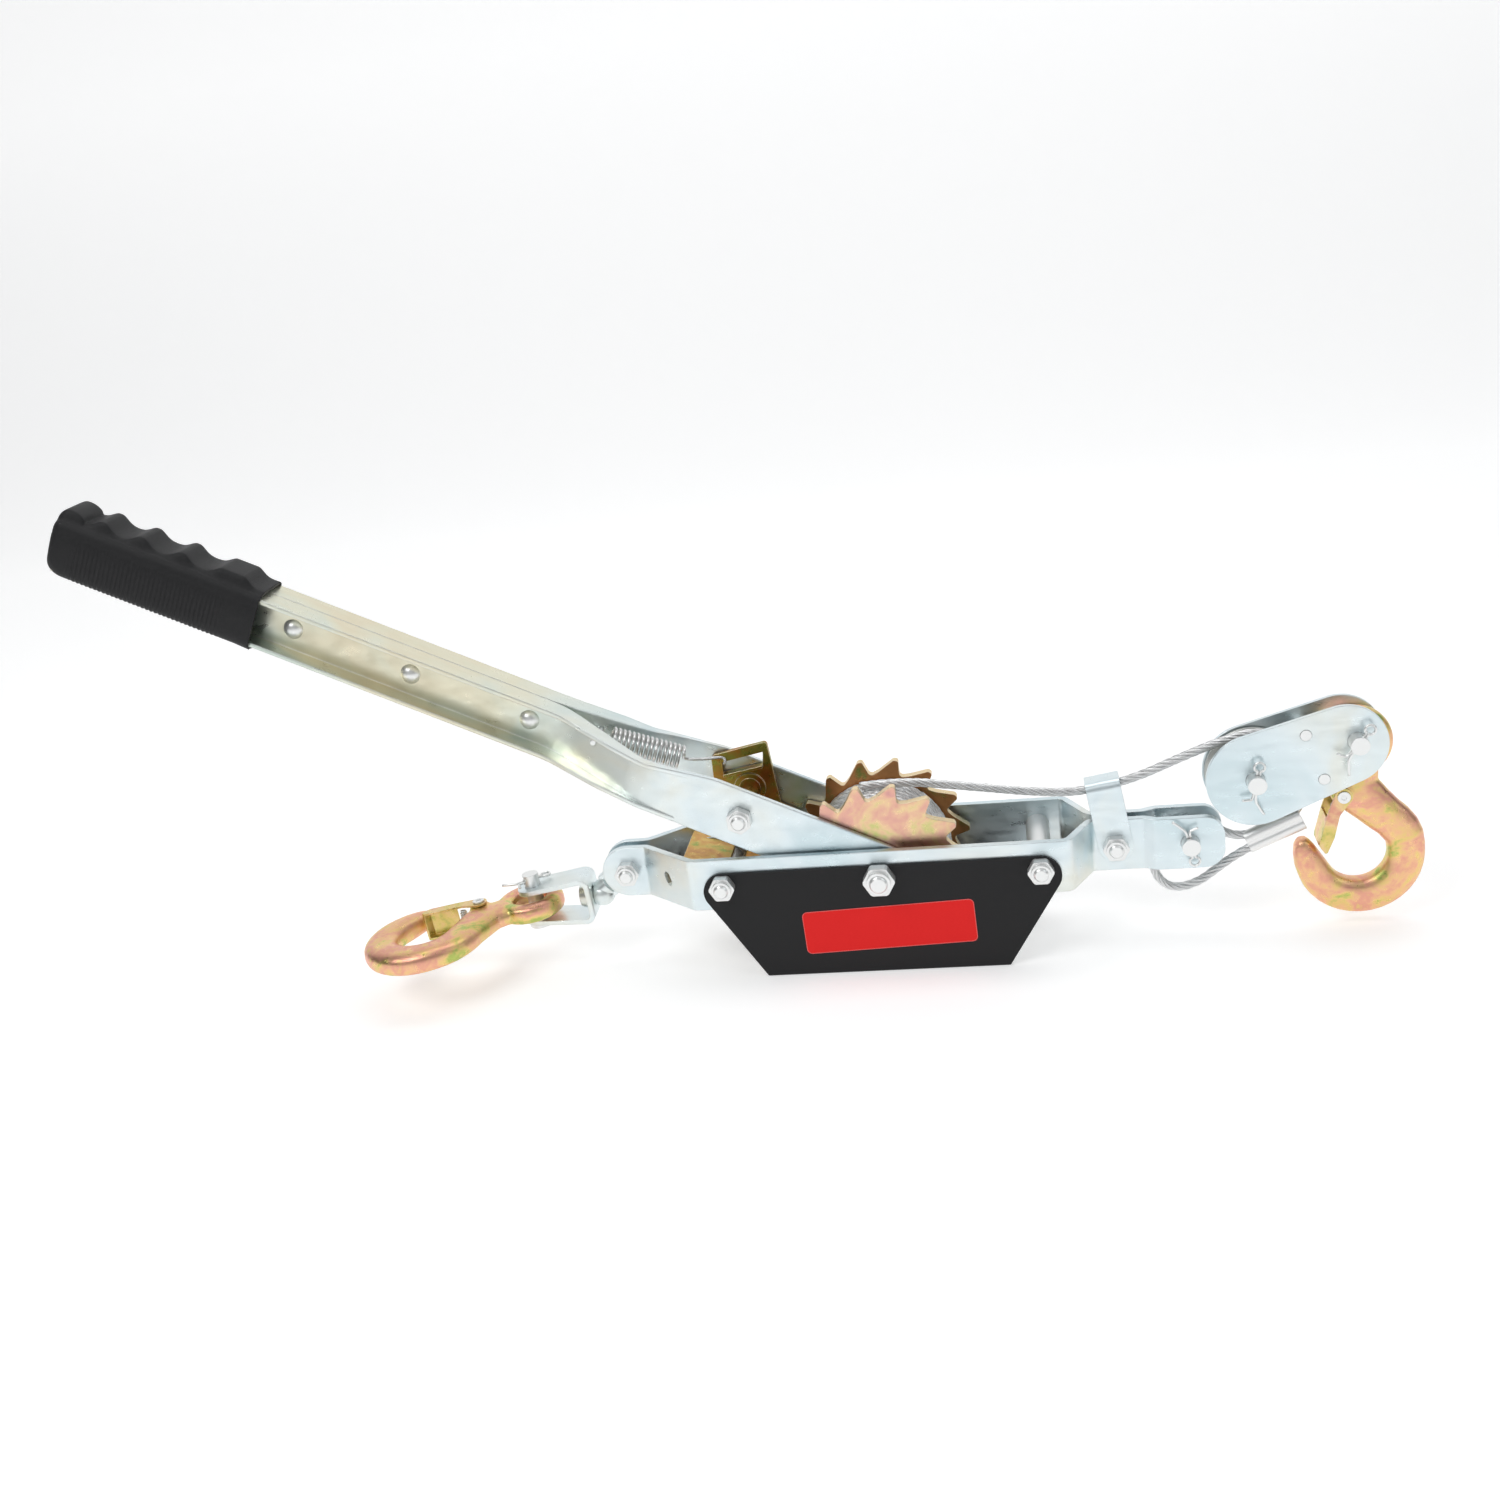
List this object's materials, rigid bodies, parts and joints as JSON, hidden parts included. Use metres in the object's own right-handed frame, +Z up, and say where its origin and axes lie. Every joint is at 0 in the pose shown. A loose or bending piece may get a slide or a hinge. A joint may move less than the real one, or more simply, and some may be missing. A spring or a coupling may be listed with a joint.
{
  "type": "come along winch",
  "caption": "Hand ratchet cable puller with a pawl handle, a rope drum in a strap frame, a pulley block and two latched hooks.",
  "frame": {"origin": "centre of the guard's flat underside, straight below the drum axle", "axes": "+X towards the load hook and pulley block, +Y to the back, away from the labelled side, +Z up; the drum axle lies along Y"},
  "size_m": [0.7481, 0.1101, 0.2999],
  "materials": {
    "zinc": "bright zinc plating, satin",
    "yellow_zinc": "yellow passivated zinc, iridescent",
    "black_paint": "satin",
    "red_label": "satin",
    "rubber": "matt",
    "rope_steel": "bright galvanised strands",
    "ferrule_aluminium": "satin",
    "spring_steel": "bright wire",
    "sheave_iron": "turned and plated",
    "fastener_zinc": "bright zinc plating"
  },
  "bodies": {
    "frame": {"front_strap": "zinc", "back_strap": "zinc", "guard": "black_paint", "guard_label": "red_label", "axle_bolt": "fastener_zinc", "axle_nut": "fastener_zinc", "left_guard_bolt": "fastener_zinc", "left_guard_nut": "fastener_zinc", "right_guard_bolt": "fastener_zinc", "right_guard_nut": "fastener_zinc", "right_spacer_tube": "fastener_zinc", "holding_pawl_sleeve": "fastener_zinc", "holding_pawl_spring": "spring_steel", "anchor_bolt": "fastener_zinc", "anchor_nut": "fastener_zinc", "clip_bolt": "fastener_zinc", "clip_nut": "fastener_zinc", "rope_clip": "zinc", "clevis_pin": "fastener_zinc", "clevis_cotter": "fastener_zinc", "wire_rope": "rope_steel", "ferrule": "ferrule_aluminium"},
    "winding_drum": {"drum": "yellow_zinc", "front_ratchet_wheel": "yellow_zinc", "back_ratchet_wheel": "yellow_zinc", "wound_rope": "rope_steel"},
    "handle": {"front_handle_half": "zinc", "back_handle_half": "zinc", "handle_rivet_1": "fastener_zinc", "handle_rivet_2": "fastener_zinc", "handle_rivet_3": "fastener_zinc", "grip": "rubber", "pawl_bolt": "fastener_zinc", "pawl_nut": "fastener_zinc", "drive_pawl_spring": "spring_steel", "spring_anchor": "fastener_zinc"},
    "driving_pawl": {"drive_pawl": "yellow_zinc"},
    "locking_pawl": {"holding_pawl": "yellow_zinc"},
    "anchor_swivel": {"swivel_eye": "zinc"},
    "anchor_bracket": {"hook_bracket": "zinc", "bracket_pin": "fastener_zinc", "bracket_cotter": "fastener_zinc"},
    "anchor_hook_body": {"anchor_hook": "yellow_zinc", "anchor_latch_rivet": "fastener_zinc", "anchor_latch_spring": "spring_steel"},
    "anchor_latch_body": {"anchor_latch": "yellow_zinc"},
    "block": {"block_front_plate": "zinc", "block_back_plate": "zinc", "upper_block_rivet": "fastener_zinc", "lower_block_rivet": "fastener_zinc", "sheave_pin": "fastener_zinc", "sheave_pin_cotter": "fastener_zinc", "hook_pin": "fastener_zinc", "hook_pin_cotter": "fastener_zinc"},
    "sheave_body": {"sheave": "sheave_iron"},
    "load_hook_body": {"load_hook": "yellow_zinc", "load_latch_rivet": "fastener_zinc", "load_latch_spring": "spring_steel"},
    "load_latch_body": {"load_latch": "yellow_zinc"}
  },
  "joints": [
    {"name": "drum_turn", "type": "hinge", "parent": "frame", "child": "winding_drum", "pos_m": [0, 0, 0.0577], "axis": [0, 1, 0], "continuous": true},
    {"name": "handle_swing", "type": "hinge", "parent": "frame", "child": "handle", "pos_m": [0, 0, 0.0577], "axis": [0, 1, 0], "range_deg": [-6, 90]},
    {"name": "drive_pawl_lift", "type": "hinge", "parent": "handle", "child": "driving_pawl", "pos_m": [-0.07466, 0, 0.09509], "axis": [0, 1, 0], "range_deg": [-25, 0], "stiffness_Nm_per_rad": 0.3, "springref_deg": 22.92},
    {"name": "holding_pawl_lift", "type": "hinge", "parent": "frame", "child": "locking_pawl", "pos_m": [-0.088, 0, 0.0577], "axis": [0, 1, 0], "range_deg": [0, 20], "stiffness_Nm_per_rad": 0.3, "springref_deg": -22.92},
    {"name": "anchor_swing", "type": "hinge", "parent": "frame", "child": "anchor_swivel", "pos_m": [-0.1476, 0, 0.0577], "axis": [0, 1, 0], "range_deg": [-50, 10]},
    {"name": "anchor_spin", "type": "hinge", "parent": "anchor_swivel", "child": "anchor_bracket", "pos_m": [-0.171, 0, 0.0417], "axis": [-0.9969, 0, -0.0785], "continuous": true},
    {"name": "anchor_hook_turn", "type": "hinge", "parent": "anchor_bracket", "child": "anchor_hook_body", "pos_m": [-0.20739, 0, 0.03884], "axis": [-0.0785, 0, 0.9969], "range_deg": [-88, 32]},
    {"name": "anchor_latch_open", "type": "hinge", "parent": "anchor_hook_body", "child": "anchor_latch_body", "pos_m": [-0.239, -0.00938, 0.03635], "axis": [0.0785, 0, -0.9969], "range_deg": [-35, 0], "stiffness_Nm_per_rad": 0.05, "springref_deg": 34.38},
    {"name": "block_swing", "type": "hinge", "parent": "frame", "child": "block", "pos_m": [0.205, 0, 0.0922], "axis": [0, 1, 0], "range_deg": [-40, 0]},
    {"name": "sheave_turn", "type": "hinge", "parent": "block", "child": "sheave_body", "pos_m": [0.205, 0, 0.0922], "axis": [0, 1, 0], "continuous": true},
    {"name": "load_hook_swing", "type": "hinge", "parent": "block", "child": "load_hook_body", "pos_m": [0.25762, 0, 0.11135], "axis": [0, 1, 0], "range_deg": [-80, 0]},
    {"name": "load_latch_open", "type": "hinge", "parent": "load_hook_body", "child": "load_latch_body", "pos_m": [0.25102, 0, 0.07895], "axis": [0, 1, 0], "range_deg": [-35, 0], "stiffness_Nm_per_rad": 0.05, "springref_deg": 34.38}
  ]
}
